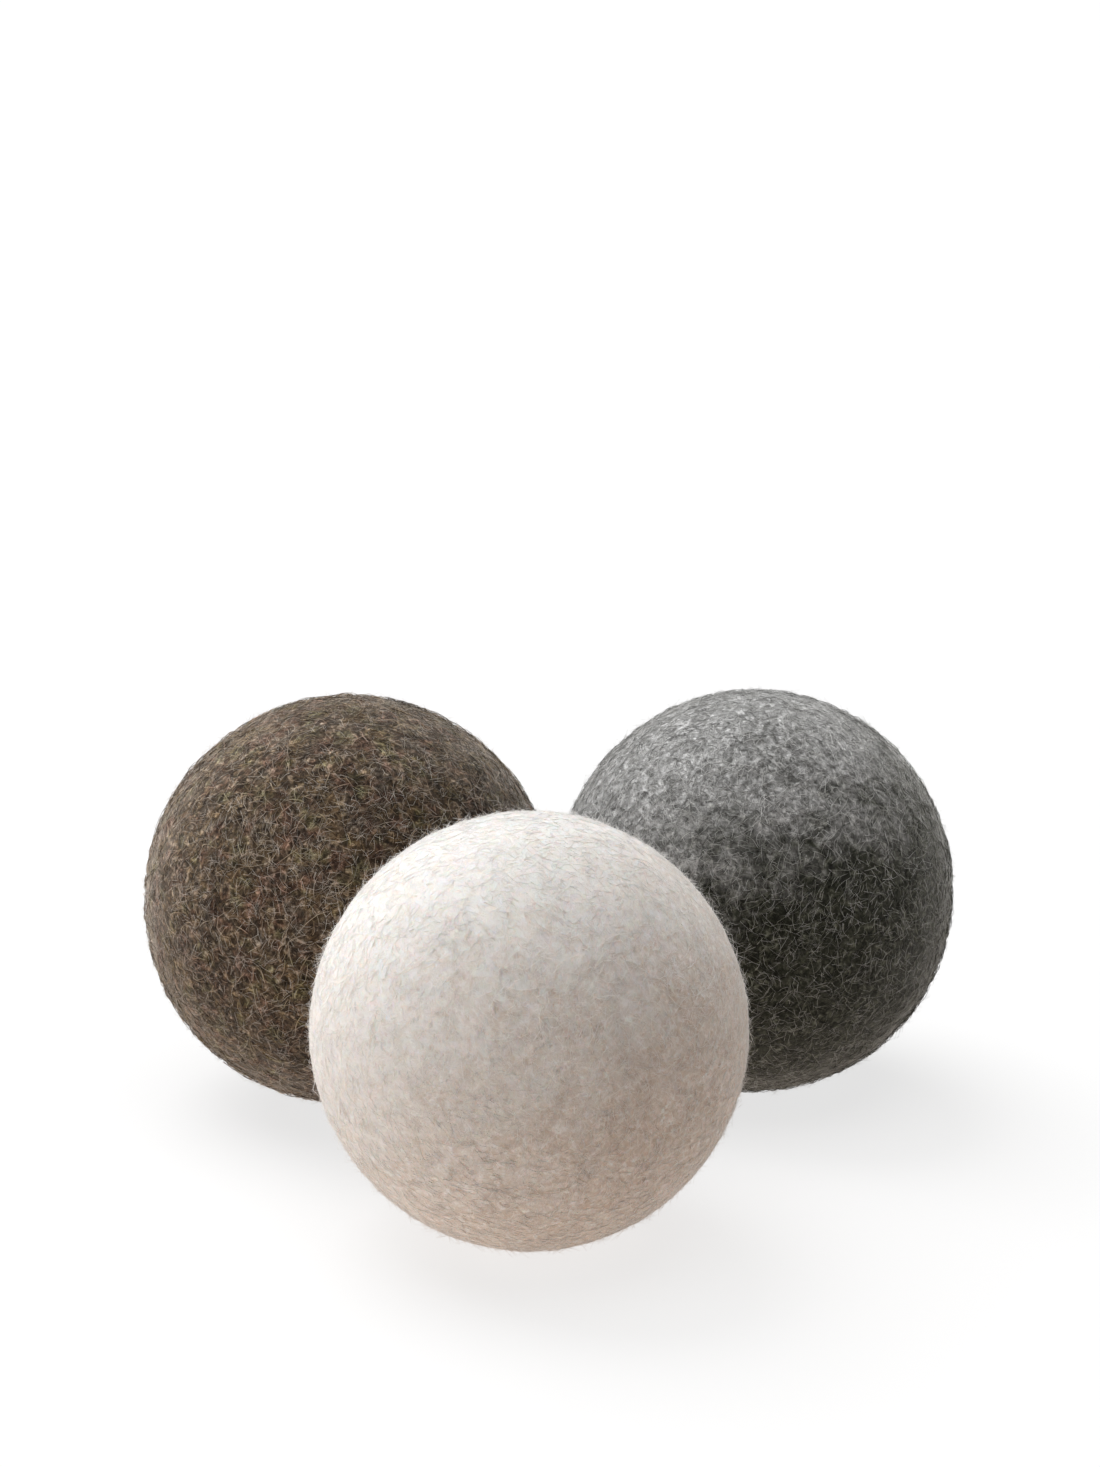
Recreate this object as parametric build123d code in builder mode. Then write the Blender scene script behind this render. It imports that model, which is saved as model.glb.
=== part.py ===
from build123d import *
import os
from dataclasses import dataclass
from math import acos, cos, radians, sin, sqrt

# A set of three loose felted wool dryer balls, cream, brown and grey, standing on one flat surface.
# Each ball is built up from its middle, as it is made: yarn wound into a ball, three batts of carded
# wool felted over it one after another, and a thick skin of felt in the ball's own colour.
# +Z is up, +X points to the grey ball's side and -Y to the cream ball in front. The origin is on the
# surface, under the middle of the set's bounding box. Lengths are in millimetres, angles in degrees.

# Driving dimensions: a ball's width and height are those of the round ball, before its foot is pressed.
cream_width = 70.2
cream_height = 70.2
brown_width = 71.9
brown_height = 71.5
grey_width = 69.8
grey_height = 71.0
foot_diameter = 12.0  # the patch that a ball's own weight presses flat
skin_thickness = 5.0  # where the skin is thinnest
batt_thickness = 4.5
yarn_diameter = 4.0
layer_gap = 0.05  # between one felted layer and the next
turn_gap = 0.1  # between one turn of yarn and the next
least_turn = 0.75  # the smallest radius that yarn is wound to, in yarn diameters

# Where the balls stand.
pair_gap = 0.4  # between the brown ball and the grey one
front_gap = 0.5  # between the cream ball and the brown one
open_gap = 10.5  # between the cream ball and the grey one
pair_turn = 5.0  # how far the line from brown to grey turns back from the X axis

batt_names = ("outer_batt", "middle_batt", "inner_batt")


@dataclass
class Ball:
    """One ball: its colour name, its round size, and where its middle stands on the surface."""

    name: str
    width: float
    height: float
    x: float = 0.0
    y: float = 0.0

    @property
    def centre(self):
        """The middle of the ball, at the height where the flat foot just reaches the surface."""
        rise = self.height / 2 * sqrt(1 - (foot_diameter / self.width) ** 2)
        return Vector(self.x, self.y, rise)

    def radius_under(self, batts):
        """The radius of the next round layer inwards, under the skin and this many batts."""
        hollow = min(self.width, self.height) / 2 - skin_thickness
        return hollow - layer_gap - batts * (batt_thickness + layer_gap)


def spacing(one, other, gap):
    """The distance between the middles of two balls that stand a gap apart."""
    return (one.width + other.width) / 2 + gap


def set_out():
    """The three balls, the cream one nestled in front of the pair, centred on the origin."""
    cream = Ball("cream", cream_width, cream_height)
    brown = Ball("brown", brown_width, brown_height)
    grey = Ball("grey", grey_width, grey_height)
    pair = spacing(brown, grey, pair_gap)
    near = spacing(cream, brown, front_gap)
    far = spacing(cream, grey, open_gap)
    turn = radians(pair_turn)
    corner = acos((pair**2 + near**2 - far**2) / (2 * pair * near))
    grey.x, grey.y = pair * cos(turn), pair * sin(turn)
    cream.x, cream.y = near * cos(turn - corner), near * sin(turn - corner)
    balls = (cream, brown, grey)
    middle_x = (min(b.x - b.width / 2 for b in balls) + max(b.x + b.width / 2 for b in balls)) / 2
    middle_y = (min(b.y - b.width / 2 for b in balls) + max(b.y + b.width / 2 for b in balls)) / 2
    for ball in balls:
        ball.x -= middle_x
        ball.y -= middle_y
    return balls


def felt_skin(ball):
    """The coloured felt outside: a thick shell, round within and pressed flat where it rests."""
    with BuildPart() as skin:
        wide_ball = Sphere(ball.width / 2, mode=Mode.PRIVATE)
        whole_ball = scale(wide_ball, by=(1, 1, ball.height / ball.width), mode=Mode.PRIVATE)
        with Locations(ball.centre):
            add(whole_ball)
            Sphere(ball.radius_under(0) + layer_gap, mode=Mode.SUBTRACT)
        split(bisect_by=Plane.XY, keep=Keep.TOP)
    return skin


def batt(ball, order):
    """One hollow layer of carded wool, under as many others as its place in the order."""
    with BuildPart() as layer:
        with Locations(ball.centre):
            Sphere(ball.radius_under(order))
            Sphere(ball.radius_under(order + 1) + layer_gap, mode=Mode.SUBTRACT)
    return layer


def yarn_core(ball):
    """Yarn wound over a small knot, each wind across the one under it. Its turns stay separate solids."""
    pitch = yarn_diameter + turn_gap
    tightest = least_turn * yarn_diameter
    wind_radius = ball.radius_under(len(batt_names)) - yarn_diameter / 2
    knot_radius = wind_radius
    wind_axes = ((0, 0, 1), (1, 0, 0), (0, 1, 0))
    wind = 0
    with BuildPart() as core:
        while wind_radius > yarn_diameter:
            side_turns = int(sqrt(wind_radius**2 - tightest**2) / pitch)
            lie = Plane(origin=ball.centre, z_dir=wind_axes[wind % len(wind_axes)])
            for turn in range(-side_turns, side_turns + 1):
                with Locations(lie.offset(turn * pitch)):
                    Torus(sqrt(wind_radius**2 - (turn * pitch) ** 2), yarn_diameter / 2)
            knot_radius = wind_radius - yarn_diameter / 2 - turn_gap
            wind_radius -= pitch
            wind += 1
        with Locations(ball.centre):
            Sphere(knot_radius)
    return core


def write_piece(piece, name):
    piece.part.label = name
    export_step(piece.part, os.path.join("parts", name + ".step"))


os.makedirs("parts", exist_ok=True)
for ball in set_out():
    print(ball.name, "middle at", [round(v, 3) for v in ball.centre])
    write_piece(felt_skin(ball), ball.name + "_felt_skin")
    for order, batt_name in enumerate(batt_names):
        write_piece(batt(ball, order), ball.name + "_" + batt_name)
    write_piece(yarn_core(ball), ball.name + "_yarn_core")
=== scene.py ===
from dataclasses import dataclass, field
from math import ceil, cos, pi, radians, sin, sqrt

import bmesh
import bpy
import numpy as np
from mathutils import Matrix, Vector


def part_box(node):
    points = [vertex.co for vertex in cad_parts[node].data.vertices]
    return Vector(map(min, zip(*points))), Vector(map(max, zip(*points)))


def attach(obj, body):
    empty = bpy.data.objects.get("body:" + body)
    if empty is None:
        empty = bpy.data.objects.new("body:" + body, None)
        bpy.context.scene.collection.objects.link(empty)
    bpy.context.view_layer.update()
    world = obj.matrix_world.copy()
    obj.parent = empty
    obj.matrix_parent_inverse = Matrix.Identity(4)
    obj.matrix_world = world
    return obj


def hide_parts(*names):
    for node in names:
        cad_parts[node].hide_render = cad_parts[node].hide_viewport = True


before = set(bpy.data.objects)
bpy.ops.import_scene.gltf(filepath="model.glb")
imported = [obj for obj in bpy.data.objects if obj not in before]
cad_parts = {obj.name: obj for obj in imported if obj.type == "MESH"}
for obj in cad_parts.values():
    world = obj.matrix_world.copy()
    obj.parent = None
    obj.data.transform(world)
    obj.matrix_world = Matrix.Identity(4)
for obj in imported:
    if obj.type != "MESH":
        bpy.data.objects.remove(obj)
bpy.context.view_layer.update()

# Three loose felted wool dryer balls. Each has a softly lumpy felt skin, fibres that lie tangled over it
# and fine loose hairs that stand off it, round wool batts and a ball of wound yarn. Lengths are in metres.
MM = 0.001

# The felt skin.
foot_diameter = 12 * MM  # the patch that a ball's own weight presses flat
skin_sink = 0.28 * MM  # how far the felt lies below the tips of its nap
skin_fineness = 6  # how many times the skin's mesh is divided
lump_depth = 0.06 * MM
dimple_depth = 0.008 * MM
floor_gap = 0.06 * MM  # how high above the floor the lowest fibres stay
neighbour_gap = 0.04 * MM  # how far the wool stays behind the plane midway to the next ball

# The fibres.
fibre_sides = 3
most_triangles = 190_000  # in one piece
length_spread = 0.35  # how unlike each other the fibres' lengths are
curl_change = 0.45  # how much of its curl a fibre changes from one point to the next
tuck = 0.12 * MM  # how deep a lying fibre's ends go into the felt
arch_shape = 0.6  # below 1, a lying fibre rises quickly at its ends and runs level between them
least_rise = 0.05  # how far the lowest lying fibres stand off, as a share of the furthest
hair_lift = 0.04 * MM  # how high over the felt a loose hair starts
hair_curve = 1.2  # above 1, a loose hair turns upwards along its length
usual_rise = 0.22  # how far the most loose hairs stand off, as a share of the furthest
thin_end = 0.4  # how thick a fibre's tip is, as a share of its thickest place

# The yarn.
yarn_thickness = 4 * MM
yarn_sides = 7
wind_step = 2.2 * MM  # how much smaller each wind of yarn is than the one over it
wind_tilts = (1.35, 0.7, 1.1, 0.3, 0.9)  # how steeply each wind's turns stand, from the outside in
turns_in_wind = 13
points_in_turn = 18

batt_names = ("outer_batt", "middle_batt", "inner_batt")


@dataclass
class Lay:
    """How one kind of fibre lies on a ball."""
    count: int
    length: float
    thickness: float
    points: int  # along each fibre
    curl: float  # radians turned in a metre of fibre
    stray: float  # how far fibres head off the way they are combed, in radians
    rise: float  # how far a fibre stands off the felt, at most


@dataclass
class Wool:
    """The colours of one kind of wool."""
    ground: tuple  # the wool between the fibres: one colour, or a few that it runs through
    strands: tuple  # single fibres, from the darkest to the palest


@dataclass
class Fleece:
    """What one ball's skin is made of: a lighter and a darker wool, blended in patches and as painted light
    and shade, the lighter on its lit side, and how their fibres lie.
    """
    seed: int
    light: Wool
    dark: Wool
    towards: tuple  # the side of the ball that is painted lighter, as if lit: painted light on the key lamp's side
    lean: float  # how strongly the painted light keeps to that side
    patchiness: float
    bias: float  # more light wool all over
    tufts: float  # how much dyed wool is mixed in, from 0 to 1
    sheen: float
    glow: float  # how much light the wool lets through
    fuzz: tuple  # the colour of the finest hairs
    pale: float  # how far the lying fibres' colours go towards it, from 0 to 1
    felted: Lay
    long: Lay
    loose: Lay


@dataclass
class Ball:
    """One ball as it stands, from the box of its CAD skin."""
    name: str
    fleece: Fleece
    middle: np.ndarray = field(init=False)
    half_width: float = field(init=False)
    half_height: float = field(init=False)
    lumps: tuple = field(init=False)
    dimples: tuple = field(init=False)
    comb_waves: list = field(init=False)
    limits: list = field(init=False, default_factory=list)

    def __post_init__(self):
        low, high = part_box(self.name + "_felt_skin")
        self.half_width = (high[0] - low[0]) / 2
        press = sqrt(1 - (foot_diameter / 2 / self.half_width) ** 2)
        self.half_height = (high[2] - low[2]) / (1 + press)
        self.middle = np.array([(low[0] + high[0]) / 2, (low[1] + high[1]) / 2, self.half_height * press])
        rng = np.random.default_rng(self.fleece.seed)
        self.lumps = waves(rng, count=7, pace=2.4, depth=lump_depth)
        self.dimples = waves(rng, count=24, pace=24.0, depth=dimple_depth)
        self.comb_waves = [waves(rng, count=3, pace=2.2, depth=1.0) for axis in range(3)]

    @property
    def body(self):
        return self.name + "_ball"

    def surface(self, where, height=0.0, least=0.0):
        """Points in these directions from the middle, at a height over the felt, and no lower than least.

        They stay behind the planes midway to the neighbours, where the wool is pressed together.
        """
        reach = 1 / np.sqrt((where[:, 0] ** 2 + where[:, 1] ** 2) / self.half_width ** 2
                            + where[:, 2] ** 2 / self.half_height ** 2)
        reach += swell(self.lumps, where) + swell(self.dimples, where) - skin_sink + height
        points = self.middle + where * reach[:, None]
        for across, furthest in self.limits:
            past = np.maximum((points - self.middle) @ across - furthest, 0)
            points -= past[:, None] * across
        points[:, 2] = np.maximum(points[:, 2], least)
        return points

    def comb(self, where):
        """The way that the fibres are combed at each place: a smooth swirling field over the ball."""
        lean = np.stack([swell(group, where) for group in self.comb_waves], axis=1)
        return unit(np.cross(where, lean))


def waves(rng, count, pace, depth):
    """Random smooth waves over a ball: how each one runs, where it starts, and the depth of them all."""
    return rng.normal(0, pace, (count, 3)), rng.uniform(0, 2 * pi, count), depth


def swell(group, where):
    """How much a group of waves raises the surface in these directions."""
    vectors, phases, depth = group
    return depth * np.sin(where @ vectors.T + phases).sum(axis=1)


def unit(vectors):
    """The same directions, one unit long."""
    return vectors / np.linalg.norm(vectors, axis=-1, keepdims=True)


def keep_apart(balls):
    """Gives each ball the upright planes, midway to its neighbours, that its wool stays behind."""
    for ball in balls:
        for other in balls:
            if other is not ball:
                line = (other.middle - ball.middle) * (1, 1, 0)
                distance = np.linalg.norm(line)
                gap = distance - ball.half_width - other.half_width
                ball.limits.append((line / distance, ball.half_width + gap / 2 - neighbour_gap))


# ---------------------------------------------------------------- pieces

def add_piece(name, mesh, ball, material):
    """A finished mesh as a piece that rides on a ball's body."""
    mesh.materials.clear()
    mesh.materials.append(material)
    mesh.shade_smooth()
    piece = bpy.data.objects.new(name, mesh)
    bpy.context.scene.collection.objects.link(piece)
    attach(piece, ball.body)
    return piece


def felt_skin(ball, material):
    """The felt itself: a closed ball with soft lumps and dimples, flat where it rests."""
    shape = bmesh.new()
    bmesh.ops.create_icosphere(shape, subdivisions=skin_fineness, radius=1)
    mesh = bpy.data.meshes.new(ball.name + "_felt")
    shape.to_mesh(mesh)
    shape.free()
    places = np.empty(len(mesh.vertices) * 3)
    mesh.vertices.foreach_get("co", places)
    mesh.vertices.foreach_set("co", ball.surface(unit(places.reshape(-1, 3))).ravel())
    mesh.update()
    piece = add_piece(ball.name + "_felt", mesh, ball, material)
    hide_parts(ball.name + "_felt_skin")


def strand_outline(thickness, sides):
    """The outline of one strand: a small even-sided ring that it is drawn out from."""
    outline = bpy.data.curves.new("strand_outline", "CURVE")
    outline.dimensions = "3D"
    ring = outline.splines.new("POLY")
    ring.points.add(sides - 1)
    for corner, point in enumerate(ring.points):
        turn = 2 * pi * corner / sides
        point.co = (thickness / 2 * cos(turn), thickness / 2 * sin(turn), 0, 1)
    ring.use_cyclic_u = True
    return bpy.data.objects.new("strand_outline", outline)


def strand_mesh(name, paths, taper, thickness, sides):
    """One mesh of many strands, each a closed thread along its path, thinner where tapered."""
    outline = strand_outline(thickness, sides)
    curve = bpy.data.curves.new(name, "CURVE")
    curve.dimensions = "3D"
    curve.bevel_mode = "OBJECT"
    curve.bevel_object = outline
    curve.use_fill_caps = True
    for path in paths:
        strand = curve.splines.new("POLY")
        strand.points.add(len(path) - 1)
        strand.points.foreach_set("co", np.c_[path, np.ones(len(path))].ravel())
        strand.points.foreach_set("radius", taper)
    drawn = bpy.data.objects.new(name, curve)
    bpy.context.scene.collection.objects.link(drawn)
    bpy.context.scene.collection.objects.link(outline)
    mesh = bpy.data.meshes.new_from_object(drawn.evaluated_get(bpy.context.evaluated_depsgraph_get()))
    bpy.data.objects.remove(drawn)
    bpy.data.objects.remove(outline)
    mesh.name = name
    return mesh


def wander(ball, rng, lay, height):
    """Paths of fibres that curl over the ball.

    height gives how high all of them are over the felt at a share of their length, from 0 to 1.
    """
    where = unit(rng.normal(size=(lay.count, 3)))
    along = ball.comb(where)
    angle = rng.normal(0, lay.stray, lay.count)[:, None]
    heading = np.cos(angle) * along + np.sin(angle) * np.cross(where, along)
    stride = (lay.length * rng.lognormal(0, length_spread, lay.count) / (lay.points - 1))[:, None]
    turn = rng.normal(0, lay.curl, lay.count)[:, None]
    paths = np.empty((lay.count, lay.points, 3))
    for step in range(lay.points):
        paths[:, step] = ball.surface(where, height(step / (lay.points - 1)), floor_gap)
        turn += rng.normal(0, lay.curl * curl_change, (lay.count, 1))
        heading = unit(heading + turn * stride * np.cross(where, heading))
        where = unit(where + heading * stride / ball.half_width)
        heading = unit(heading - where * (heading * where).sum(axis=1, keepdims=True))
    return paths


def add_fibres(ball, name, lay, paths, taper, material):
    """Fibres along these paths, in as many pieces as keep each one light enough."""
    triangles = 2 * fibre_sides * (lay.points - 1) + 2
    lots = ceil(lay.count * triangles / most_triangles)
    for lot, share in enumerate(np.array_split(paths, lots), 1):
        piece_name = f"{ball.name}_{name}_{lot}" if lots > 1 else f"{ball.name}_{name}"
        mesh = strand_mesh(piece_name, share, taper, lay.thickness, fibre_sides)
        add_piece(piece_name, mesh, ball, material)


def lying_fibres(ball, name, lay, order, material):
    """Fibres felted down over the skin: both ends tucked into it, the middle proud of it."""
    rng = np.random.default_rng(ball.fleece.seed * 10 + order)
    rise = lay.rise * rng.uniform(least_rise, 1, lay.count)
    paths = wander(ball, rng, lay, lambda share: (rise + tuck) * sin(pi * share) ** arch_shape - tuck)
    shares = [step / (lay.points - 1) for step in range(lay.points)]
    taper = [thin_end + (1 - thin_end) * sqrt(sin(pi * share)) for share in shares]
    add_fibres(ball, name, lay, paths, taper, material)


def loose_hairs(ball, lay, order, material):
    """Fine hairs with one end in the felt and the other curling up off it, the fuzz at a ball's edge."""
    rng = np.random.default_rng(ball.fleece.seed * 10 + order)
    rise = np.minimum(rng.gamma(2.0, usual_rise * lay.rise, lay.count), lay.rise)
    paths = wander(ball, rng, lay, lambda share: rise * share ** hair_curve + hair_lift)
    taper = [1 - (1 - thin_end) * step / (lay.points - 1) for step in range(lay.points)]
    add_fibres(ball, "loose_hairs", lay, paths, taper, material)


def wound_yarn(ball, material):
    """The ball of yarn in the middle: one strand wound round and round, each layer across the last."""
    node = ball.name + "_yarn_core"
    low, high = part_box(node)
    middle = (np.array(low) + np.array(high)) / 2
    radius = (high[2] - low[2]) / 2 - yarn_thickness / 2
    steps = np.arange(turns_in_wind * points_in_turn)
    around = 2 * pi * steps / points_in_turn
    turned = pi * steps / len(steps)
    winds = []
    for tilt in wind_tilts:
        x, y, z = np.cos(around), np.sin(around) * cos(tilt), np.sin(around) * sin(tilt)
        spun = [x * np.cos(turned) - y * np.sin(turned), x * np.sin(turned) + y * np.cos(turned), z]
        winds.append(middle + radius * np.stack(spun, axis=1))
        radius -= wind_step
    path = np.concatenate(winds)
    mesh = strand_mesh(node + "_yarn", [path], [1.0] * len(path), yarn_thickness, yarn_sides)
    piece = add_piece(ball.name + "_wound_yarn", mesh, ball, material)
    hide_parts(node)


# ---------------------------------------------------------------- node helpers

class Nodes:
    """Adds and links the nodes of one tree."""

    def __init__(self, tree):
        self.tree = tree

    def feed(self, socket, value):
        """Links a value that is a socket, and sets one that isn't."""
        if isinstance(value, bpy.types.NodeSocket):
            self.tree.links.new(value, socket)
        else:
            socket.default_value = value

    def add(self, kind, inputs=None, **settings):
        """A node of this kind, with its settings and what goes into its inputs."""
        node = self.tree.nodes.new(kind)
        for key, value in settings.items():
            setattr(node, key, value)
        for key, value in (inputs or {}).items():
            self.feed(node.inputs[key], value)
        return node

    def math(self, operation, *values):
        """The result of a Math node on these numbers."""
        return self.add("ShaderNodeMath", dict(enumerate(values)), operation=operation).outputs[0]

    def vector(self, operation, *values):
        """A Vector Math node on these vectors."""
        return self.add("ShaderNodeVectorMath", dict(enumerate(values)), operation=operation)

    def mix(self, share, first, second, blend="MIX"):
        """A colour that goes from the first to the second with the share."""
        node = self.add("ShaderNodeMix", {"Factor": share}, data_type="RGBA", blend_type=blend)
        first_input, second_input = [socket for socket in node.inputs if socket.type == "RGBA"]
        self.feed(first_input, first)
        self.feed(second_input, second)
        return next(socket for socket in node.outputs if socket.type == "RGBA")

    def smooth_range(self, value, low, high):
        """0 at low, 1 at high, eased in between."""
        inputs = {"Value": value, "From Min": low, "From Max": high}
        return self.add("ShaderNodeMapRange", inputs, interpolation_type="SMOOTHSTEP").outputs["Result"]

    def noise(self, places, scale, detail=1.0, roughness=0.5, distortion=0.0):
        """Smooth random values around 0.5."""
        inputs = {"Vector": places, "Scale": scale, "Detail": detail, "Roughness": roughness,
                  "Distortion": distortion}
        return self.add("ShaderNodeTexNoise", inputs).outputs["Fac"]

    def ramp(self, value, stops):
        """A colour for a value, from colours spread evenly over 0 to 1."""
        node = self.add("ShaderNodeValToRGB", {"Fac": value})
        while len(node.color_ramp.elements) < len(stops):
            node.color_ramp.elements.new(0.5)
        for order, (element, colour) in enumerate(zip(node.color_ramp.elements, stops)):
            element.position = order / (len(stops) - 1)
            element.color = (*colour, 1)
        return node.outputs["Color"]

    def placed(self, places, shift, turn=(0, 0, 0), stretch=(1, 1, 1)):
        """The same places, moved, turned and stretched, so that two uses of a pattern never line up."""
        inputs = {"Vector": places, "Location": (shift, shift * 0.7, -shift), "Rotation": turn,
                  "Scale": stretch}
        return self.add("ShaderNodeMapping", inputs).outputs["Vector"]

    def use(self, group, **inputs):
        """The only output of one use of a shared group."""
        node = self.tree.nodes.new("ShaderNodeGroup")
        node.node_tree = group
        for key, value in inputs.items():
            self.feed(node.inputs[key], value)
        return node.outputs[0]


def new_group(name, inputs, output, kind="NodeSocketFloat"):
    """An empty node group that takes places and these numbers and vectors, and puts out one value.

    Returns its node helper, the values that come in and the socket that takes the result.
    """
    group = bpy.data.node_groups.new(name, "ShaderNodeTree")
    group.interface.new_socket("Places", in_out="INPUT", socket_type="NodeSocketVector")
    for socket_name, value in inputs.items():
        socket_type = "NodeSocketVector" if isinstance(value, tuple) else "NodeSocketFloat"
        socket = group.interface.new_socket(socket_name, in_out="INPUT", socket_type=socket_type)
        socket.default_value = value
    group.interface.new_socket(output, in_out="OUTPUT", socket_type=kind)
    nodes = Nodes(group)
    return nodes, nodes.add("NodeGroupInput").outputs, nodes.add("NodeGroupOutput").inputs[output]


def crossed_strands_group():
    """Fine strands that cross in three directions, broken into short lengths: fibres too fine to model."""
    settings = {"Scale": 1600.0, "Width": 0.05, "Cover": 0.5}
    nodes, put, result = new_group("Crossed strands", settings, "Strands")
    turns = ((0.3, 0.2, 0.0), (1.4, 0.5, 0.9), (0.2, 1.5, 2.1))
    lengthwise = (1, 1, 0.14)  # draws the pattern out into lengths
    fade = 0.1  # how softly a strand comes and goes
    crossing = 0.0
    for order, turn in enumerate(turns):
        spot = nodes.placed(put["Places"], shift=0.013 * order, turn=turn, stretch=lengthwise)
        curl = nodes.noise(spot, put["Scale"], detail=1.0, roughness=0.4, distortion=0.9)
        away = nodes.math("ABSOLUTE", nodes.math("SUBTRACT", curl, 0.5))
        line = nodes.math("SUBTRACT", 1.0, nodes.smooth_range(away, 0.0, put["Width"]))
        brightness = 0.7 + 0.15 * order
        crossing = nodes.math("MAXIMUM", crossing, nodes.math("MULTIPLY", line, brightness))
    gaps = nodes.noise(put["Places"], nodes.math("MULTIPLY", put["Scale"], 0.5))
    bare = nodes.math("SUBTRACT", 1.0, put["Cover"])
    shown = nodes.smooth_range(gaps, nodes.math("SUBTRACT", bare, fade), nodes.math("ADD", bare, fade))
    nodes.feed(result, nodes.math("MULTIPLY", crossing, shown))
    return nodes.tree


def wool_cloud_group():
    """Soft cloudy patches, from 0 to 1."""
    nodes, put, result = new_group("Wool cloud", {"Scale": 60.0, "Contrast": 0.5}, "Cloud")
    noise = nodes.noise(put["Places"], put["Scale"], detail=4.0, roughness=0.6, distortion=0.5)
    half = nodes.math("DIVIDE", 0.25, put["Contrast"])
    cloud = nodes.smooth_range(noise, nodes.math("SUBTRACT", 0.5, half), nodes.math("ADD", 0.5, half))
    nodes.feed(result, cloud)
    return nodes.tree


def lighter_wool_and_painted_light_group():
    """How much of the lighter colour there is: painted light, more towards the lit side of the ball, and
    lighter wool in uneven patches.
    """
    settings = {"Middle": (0.0, 0.0, 0.0), "Towards": (0.0, 0.0, 1.0), "Lean": 0.5, "Patchiness": 1.0,
                "Bias": 0.5}
    nodes, put, result = new_group("Lighter wool", settings, "Share")
    outward = nodes.vector("NORMALIZE", nodes.vector("SUBTRACT", put["Places"], put["Middle"]).outputs[0])
    # Painted light: the side of the ball that faces Towards, where the key lamp is, gets more of the lighter
    # colour, as if lit.
    side = nodes.vector("DOT_PRODUCT", outward.outputs[0], put["Towards"]).outputs["Value"]
    broad = nodes.noise(put["Places"], scale=45.0, detail=3.0, roughness=0.6, distortion=0.6)
    moved = nodes.placed(put["Places"], shift=0.3)
    small = nodes.noise(moved, scale=260.0, detail=3.0, roughness=0.65, distortion=0.8)
    patch = nodes.math("ADD", nodes.math("MULTIPLY", broad, 0.5), nodes.math("MULTIPLY", small, 0.5))
    patch = nodes.math("MULTIPLY", nodes.math("SUBTRACT", patch, 0.5), put["Patchiness"])
    share = nodes.math("ADD", nodes.math("MULTIPLY_ADD", side, put["Lean"], put["Bias"]), patch)
    nodes.feed(result, nodes.smooth_range(share, 0.0, 1.0))
    return nodes.tree


def dyed_tufts_group():
    """A tint for the small tufts of moss green, ochre, wine and slate wool that get carded in."""
    nodes, put, result = new_group("Dyed tufts", {"Scale": 260.0}, "Tint", "NodeSocketColor")
    wine, pink, straw, ochre = (1.0, 0.62, 0.62), (1.0, 0.80, 0.74), (1.0, 0.92, 0.70), (1.0, 0.86, 0.52)
    slate, mist, sage, moss = (0.66, 0.80, 1.0), (0.86, 0.93, 1.0), (0.90, 1.0, 0.84), (0.70, 1.0, 0.66)
    plain = (1.0, 1.0, 1.0)
    least, most = 0.32, 0.68  # the values that the noise runs between, nearly everywhere
    first = nodes.noise(put["Places"], put["Scale"], detail=2.0, roughness=0.6)
    moved = nodes.placed(put["Places"], shift=0.5)
    second = nodes.noise(moved, put["Scale"], detail=2.0, roughness=0.6)
    warm = nodes.ramp(nodes.smooth_range(first, least, most), (wine, pink, plain, plain, straw, ochre))
    cool = nodes.ramp(nodes.smooth_range(second, least, most), (slate, mist, plain, plain, sage, moss))
    nodes.feed(result, nodes.mix(1.0, warm, cool, "MULTIPLY"))
    return nodes.tree


def new_material(name):
    """A dull wool material with no colour yet. Returns it, its node helper, its shader and Object places."""
    material = bpy.data.materials.new(name)
    material.use_nodes = True
    nodes = Nodes(material.node_tree)
    shader = material.node_tree.nodes["Principled BSDF"]
    shader.inputs["Roughness"].default_value = 0.95
    shader.inputs["Specular IOR Level"].default_value = 0.15
    return material, nodes, shader, nodes.add("ShaderNodeTexCoord").outputs["Object"]


# ---------------------------------------------------------------- materials

def lighter_wool_and_painted_light_share(nodes, places, ball, groups):
    """How much of the lighter colour there is at each place on this ball: patches of lighter wool, and
    painted light on its lit side.
    """
    fleece = ball.fleece
    return nodes.use(groups["lighter"], Places=places, Middle=tuple(ball.middle), Towards=fleece.towards,
                     Lean=fleece.lean, Patchiness=fleece.patchiness, Bias=fleece.bias)


def strand_colour(nodes, places, ball, groups, share, pick):
    """The colour of one fibre: picked from the wool that lies there, paler on the ball's painted lit side,
    and tinted in dyed tufts.
    """
    fleece = ball.fleece
    dark, light = nodes.ramp(pick, fleece.dark.strands), nodes.ramp(pick, fleece.light.strands)
    colour = nodes.mix(share, dark, light)
    if fleece.tufts:
        colour = nodes.mix(fleece.tufts, colour, nodes.use(groups["tufts"], Places=places), "MULTIPLY")
    return colour


def finish_sheen(shader, fleece):
    """The pale bloom of fine fuzz, strongest where the wool is seen edge on."""
    shader.inputs["Sheen Weight"].default_value = fleece.sheen
    shader.inputs["Sheen Roughness"].default_value = 0.35
    shader.inputs["Sheen Tint"].default_value = (*fleece.fuzz, 1)


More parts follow.
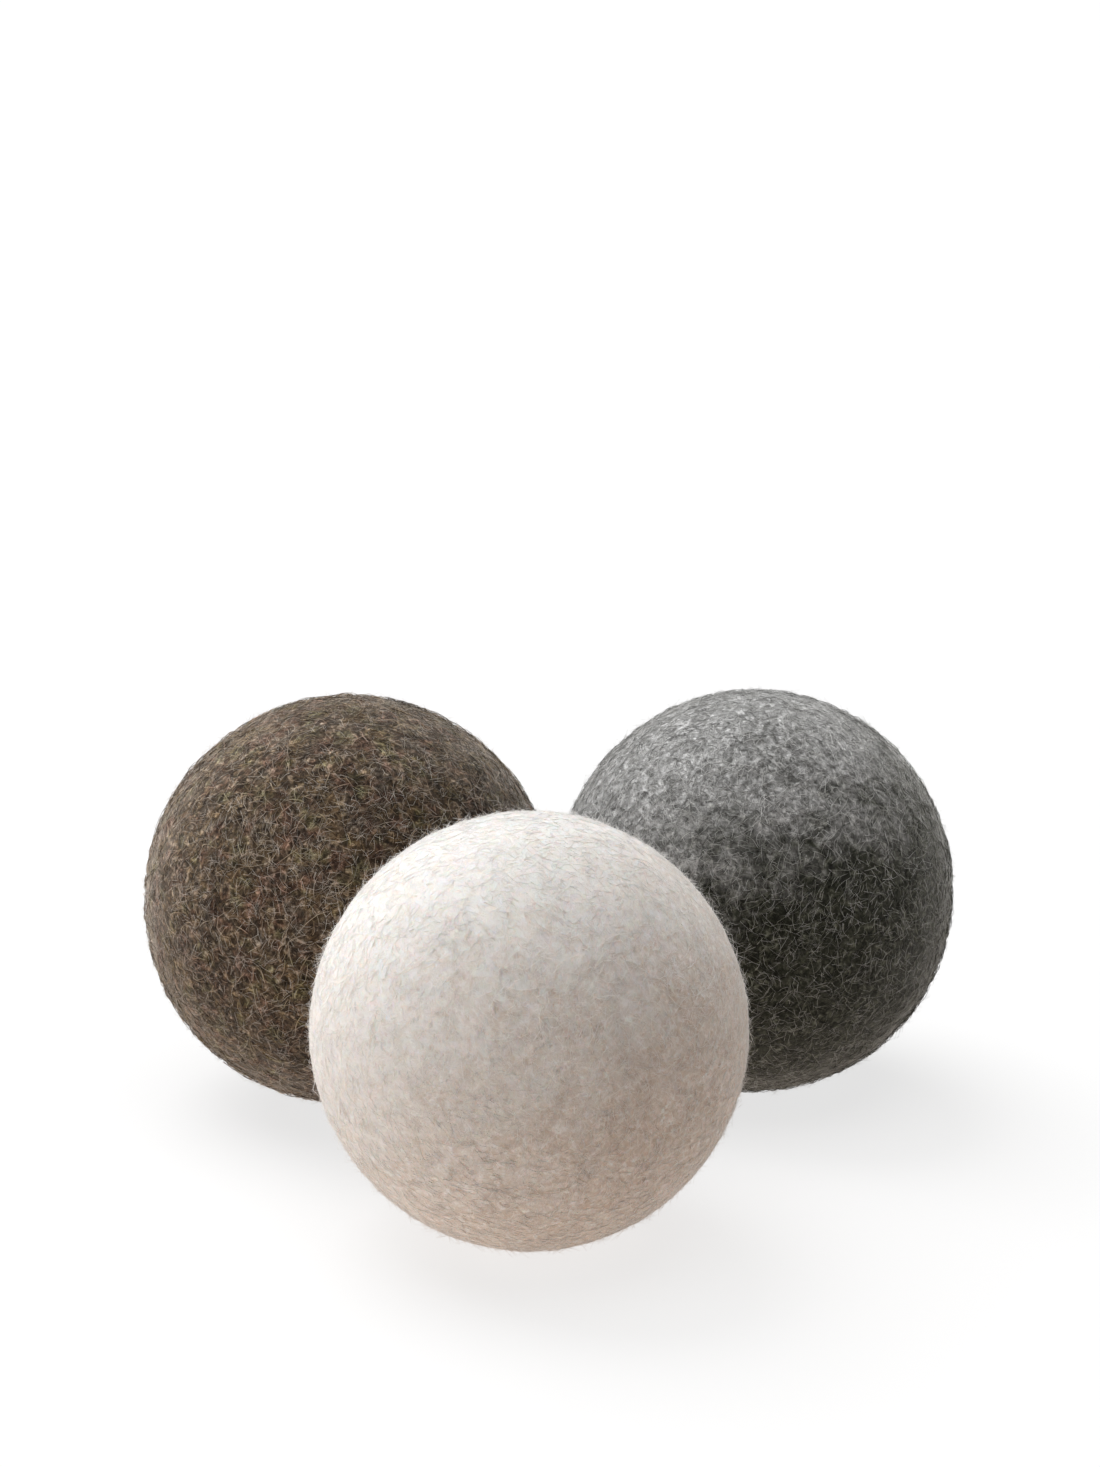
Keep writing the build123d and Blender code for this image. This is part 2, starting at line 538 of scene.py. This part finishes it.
def felt_material(ball, groups):
    """Felt: blended ground wool, painted lighter on its lit side and darker on its shaded side, under three
    depths of fine crossed fibres, with their relief.
    """
    fleece = ball.fleece
    material, nodes, shader, places = new_material(ball.name + "_felt")
    share = lighter_wool_and_painted_light_share(nodes, places, ball, groups)
    cloud = nodes.use(groups["cloud"], Places=places, Scale=420.0, Contrast=0.9)
    # Painted light and shade: the ground goes from the dark wool on the shaded side to the light wool on the
    # lit side.
    ground = nodes.mix(share, (*fleece.dark.ground, 1), (*fleece.light.ground, 1))
    shade = nodes.math("MULTIPLY", cloud, 0.5)
    colour = nodes.mix(shade, ground, (*fleece.dark.ground, 1))
    relief = nodes.math("MULTIPLY", cloud, -0.3)
    depths = ((2100.0, 0.16, 0.60), (1700.0, 0.13, 0.56), (1300.0, 0.10, 0.54))  # the finest lie deepest
    for order, (scale, width, cover) in enumerate(depths):
        spot = nodes.placed(places, shift=0.31 * (order + 1), turn=(0.8 * order, 0.5, 0.3 * order))
        lines = nodes.use(groups["strands"], Places=spot, Scale=scale, Width=width, Cover=cover)
        pick = nodes.use(groups["cloud"], Places=spot, Scale=900.0, Contrast=1.1)
        strand = strand_colour(nodes, places, ball, groups, share, pick)
        colour = nodes.mix(nodes.math("MULTIPLY", lines, 0.7 + 0.15 * order), colour, strand)
        relief = nodes.math("MAXIMUM", relief, nodes.math("MULTIPLY", lines, 0.6 + 0.2 * order))
    bump = nodes.add("ShaderNodeBump", {"Strength": 0.5, "Distance": 0.15 * MM, "Height": relief})
    nodes.feed(shader.inputs["Base Color"], colour)
    nodes.feed(shader.inputs["Normal"], bump.outputs["Normal"])
    finish_sheen(shader, fleece)
    shader.inputs["Subsurface Weight"].default_value = fleece.glow
    shader.inputs["Subsurface Radius"].default_value = (1.0, 0.72, 0.55)
    shader.inputs["Subsurface Scale"].default_value = 4 * MM
    return material


def fibre_material(ball, groups, name, fuzz):
    """Single fibres, each of its own colour, some way towards that of the finest hairs."""
    material, nodes, shader, places = new_material(ball.name + name)
    # Painted light and shade: the fibres too are lighter on the ball's lit side and darker on its shaded
    # side.
    share = lighter_wool_and_painted_light_share(nodes, places, ball, groups)
    own = nodes.add("ShaderNodeNewGeometry").outputs["Random Per Island"]
    colour = strand_colour(nodes, places, ball, groups, share, own)
    if fuzz:
        colour = nodes.mix(fuzz, colour, (*ball.fleece.fuzz, 1))
    nodes.feed(shader.inputs["Base Color"], colour)
    finish_sheen(shader, ball.fleece)
    shader.inputs["Subsurface Weight"].default_value = 0.6 * ball.fleece.glow
    shader.inputs["Subsurface Radius"].default_value = (1.0, 0.95, 0.9)
    shader.inputs["Subsurface Scale"].default_value = 0.5 * MM
    return material


def wadding_material(name, groups, wool, cloud_scale, strand_scale, relief):
    """Plain undyed wool for what is inside a ball: soft streaks and fine fibres."""
    material, nodes, shader, places = new_material(name)
    cloud = nodes.use(groups["cloud"], Places=places, Scale=cloud_scale, Contrast=0.7)
    moved = nodes.placed(places, shift=0.4)
    lines = nodes.use(groups["strands"], Places=moved, Scale=strand_scale, Width=0.07, Cover=0.6)
    colour = nodes.ramp(cloud, wool.ground)
    colour = nodes.mix(nodes.math("MULTIPLY", lines, 0.7), colour, nodes.ramp(cloud, wool.strands))
    bump = nodes.add("ShaderNodeBump", {"Strength": 0.8, "Distance": relief, "Height": lines})
    nodes.feed(shader.inputs["Base Color"], colour)
    nodes.feed(shader.inputs["Normal"], bump.outputs["Normal"])
    shader.inputs["Sheen Weight"].default_value = 0.3
    return material


def finish_node(name, material):
    """A new finish on a CAD node that keeps its shape."""
    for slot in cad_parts[name].material_slots:
        slot.link = "OBJECT"
        slot.material = material


# ---------------------------------------------------------------- floor, light and camera

def plain_grey(level):
    """A colour with no tint."""
    return level, level, level, 1


def white_floor():
    """A white light table that the balls stand on. The light that it gives them is warm, and less on +X."""
    half_side = 6.0
    shade_catch = plain_grey(0.23)  # the darker this is, the fainter the balls' shadows
    glow_seen = plain_grey(0.74)  # just enough to be white under the lamps
    warm_glow, dim_glow = (0.85, 0.74, 0.66, 1), (0.42, 0.36, 0.32, 1)
    dimming_reach = 0.15  # how far each way from the middle the glow dims
    shape = bmesh.new()
    bmesh.ops.create_grid(shape, x_segments=1, y_segments=1, size=half_side)
    mesh = bpy.data.meshes.new("floor")
    shape.to_mesh(mesh)
    shape.free()
    floor = bpy.data.objects.new("floor", mesh)
    bpy.context.scene.collection.objects.link(floor)
    material = bpy.data.materials.new("white_paper")
    material.use_nodes = True
    nodes = Nodes(material.node_tree)
    shader = material.node_tree.nodes["Principled BSDF"]
    shader.inputs["Base Color"].default_value = shade_catch
    shader.inputs["Roughness"].default_value = 1.0
    shader.inputs["Specular IOR Level"].default_value = 0.0
    places = nodes.add("ShaderNodeTexCoord").outputs["Object"]
    across = nodes.add("ShaderNodeSeparateXYZ", {"Vector": places}).outputs["X"]
    dimming = nodes.smooth_range(across, -dimming_reach, dimming_reach)
    glow = nodes.mix(dimming, warm_glow, dim_glow)
    seen = nodes.add("ShaderNodeLightPath").outputs["Is Camera Ray"]
    nodes.feed(shader.inputs["Emission Color"], nodes.mix(seen, glow, glow_seen))
    shader.inputs["Emission Strength"].default_value = 1.0
    mesh.materials.append(material)


def white_room():
    """A white background that lights the balls only a little, with a warm tint."""
    world = bpy.data.worlds.new("studio")
    bpy.context.scene.world = world
    world.use_nodes = True
    nodes = Nodes(world.node_tree)
    seen = nodes.add("ShaderNodeLightPath").outputs["Is Camera Ray"]
    warm = (0.06, 0.055, 0.05, 1)
    nodes.feed(world.node_tree.nodes["Background"].inputs["Color"], nodes.mix(seen, warm, (1, 1, 1, 1)))


def soft_light(name, towards, brightness, softness):
    """A large far lamp on the side that towards points to. Its softness is how wide it looks, in degrees."""
    lamp = bpy.data.lights.new(name, "SUN")
    lamp.energy = pi * brightness
    lamp.angle = radians(softness)
    lit = bpy.data.objects.new(name, lamp)
    lit.rotation_euler = Vector(towards).to_track_quat("Z", "Y").to_euler()
    bpy.context.scene.collection.objects.link(lit)


def camera_in_front(place, tilt, focal_length):
    """A camera with a long lens, in front of the cream ball and above it, tilted down by some degrees."""
    lens = bpy.data.cameras.new("camera")
    lens.lens = focal_length
    lens.sensor_width = 36
    lens.clip_end = 20
    camera = bpy.data.objects.new("camera", lens)
    camera.location = place
    camera.rotation_euler = (radians(90 - tilt), 0, 0)
    bpy.context.scene.collection.objects.link(camera)
    bpy.context.scene.camera = camera


# ---------------------------------------------------------------- the set

hair_fuzz = 0.85  # how far the loose hairs' colours go towards that of the finest hairs
hairs = Lay(count=8500, length=1.8 * MM, thickness=0.06 * MM, points=3, curl=400, stray=3.0, rise=1.2 * MM)

# In each fleece, towards and lean paint the light wool onto the upper left, the key lamp's side, and the
# dark wool onto the shaded lower right: painted light and shade. The cream's dark wool is warm and the
# grey's greenish: the painted colour of their shade.
cream_fleece = Fleece(
    seed=11,
    light=Wool((0.84, 0.82, 0.79), ((0.84, 0.82, 0.79), (0.88, 0.86, 0.84), (0.94, 0.93, 0.91))),
    dark=Wool((0.56, 0.45, 0.37), ((0.60, 0.49, 0.41), (0.66, 0.56, 0.48), (0.80, 0.71, 0.64),
                                   (0.98, 0.96, 0.93))),
    towards=(-0.62, -0.1, 0.78), lean=0.75, patchiness=1.6, bias=0.40, tufts=0.0, sheen=0.5, glow=1.0,
    fuzz=(0.94, 0.92, 0.89), pale=0.7,
    felted=Lay(count=17500, length=2.2 * MM, thickness=0.09 * MM, points=4, curl=340, stray=0.8,
               rise=0.10 * MM),
    long=Lay(count=1800, length=6.0 * MM, thickness=0.08 * MM, points=8, curl=180, stray=0.7,
             rise=0.20 * MM),
    loose=hairs)
brown_fleece = Fleece(
    seed=23,
    light=Wool((0.014, 0.009, 0.006), ((0.025, 0.017, 0.011), (0.050, 0.035, 0.023), (0.13, 0.092, 0.062),
                                       (0.32, 0.23, 0.155), (0.80, 0.66, 0.52))),
    dark=Wool((0.004, 0.0026, 0.0017), ((0.007, 0.0045, 0.003), (0.014, 0.009, 0.006), (0.04, 0.026, 0.017),
                                        (0.12, 0.082, 0.052), (0.48, 0.35, 0.235))),
    towards=(-0.8, -0.1, 0.59), lean=0.6, patchiness=3.2, bias=0.42, tufts=0.5, sheen=1.0, glow=0.0,
    fuzz=(0.90, 0.83, 0.75), pale=0.0,
    felted=Lay(count=13000, length=3.0 * MM, thickness=0.10 * MM, points=5, curl=280, stray=1.4,
               rise=0.50 * MM),
    long=Lay(count=1800, length=6.0 * MM, thickness=0.08 * MM, points=8, curl=200, stray=1.4,
             rise=0.60 * MM),
    loose=hairs)
grey_fleece = Fleece(
    seed=37,
    light=Wool((0.11, 0.11, 0.105), ((0.12, 0.12, 0.115), (0.28, 0.28, 0.275), (0.54, 0.54, 0.54),
                                     (0.92, 0.92, 0.92))),
    dark=Wool((0.0040, 0.0045, 0.0025), ((0.008, 0.009, 0.006), (0.022, 0.024, 0.016), (0.065, 0.070, 0.050),
                                         (0.28, 0.29, 0.23))),
    towards=(-0.55, 0.25, 0.80), lean=1.0, patchiness=3.0, bias=0.36, tufts=0.0, sheen=1.0, glow=0.0,
    fuzz=(0.90, 0.90, 0.88), pale=0.0,
    felted=Lay(count=13000, length=2.6 * MM, thickness=0.09 * MM, points=5, curl=320, stray=1.2,
               rise=0.45 * MM),
    long=Lay(count=1800, length=5.0 * MM, thickness=0.08 * MM, points=8, curl=220, stray=1.3,
             rise=0.55 * MM),
    loose=hairs)

batting_wool = Wool(((0.50, 0.43, 0.34), (0.68, 0.62, 0.52)), ((0.70, 0.64, 0.54), (0.80, 0.75, 0.66)))
yarn_wool = Wool(((0.40, 0.34, 0.26), (0.62, 0.55, 0.44)), ((0.62, 0.55, 0.44), (0.76, 0.70, 0.59)))

groups = {"strands": crossed_strands_group(), "cloud": wool_cloud_group(), "lighter": lighter_wool_and_painted_light_group(),
          "tufts": dyed_tufts_group()}
batting = wadding_material("wool_batting", groups, batting_wool, cloud_scale=120.0, strand_scale=900.0,
                           relief=0.3 * MM)
yarn = wadding_material("core_yarn", groups, yarn_wool, cloud_scale=300.0, strand_scale=1500.0,
                        relief=0.15 * MM)
balls = [Ball("cream", cream_fleece), Ball("brown", brown_fleece), Ball("grey", grey_fleece)]
keep_apart(balls)
for ball in balls:
    felt_skin(ball, felt_material(ball, groups))
    fibres = fibre_material(ball, groups, "_fibre", fuzz=ball.fleece.pale)
    lying_fibres(ball, "felted_fibres", ball.fleece.felted, 1, fibres)
    lying_fibres(ball, "long_fibres", ball.fleece.long, 2, fibres)
    loose_hairs(ball, ball.fleece.loose, 3, fibre_material(ball, groups, "_hair", fuzz=hair_fuzz))
    for batt_name in batt_names:
        finish_node(f"{ball.name}_{batt_name}", batting)
    wound_yarn(ball, yarn)

white_floor()
white_room()
soft_light("key", towards=(-0.40, 0.50, 0.77), brightness=0.80, softness=50)
soft_light("top", towards=(0.0, 0.0, 1.0), brightness=0.50, softness=60)
soft_light("side", towards=(-1.0, -0.25, 0.06), brightness=0.40, softness=60)
soft_light("rim", towards=(0.80, 0.58, 0.12), brightness=0.20, softness=40)
camera_in_front(place=(0.00006, -0.61434, 0.24867), tilt=15.9, focal_length=94.95)
bpy.context.scene.view_settings.view_transform = "Standard"
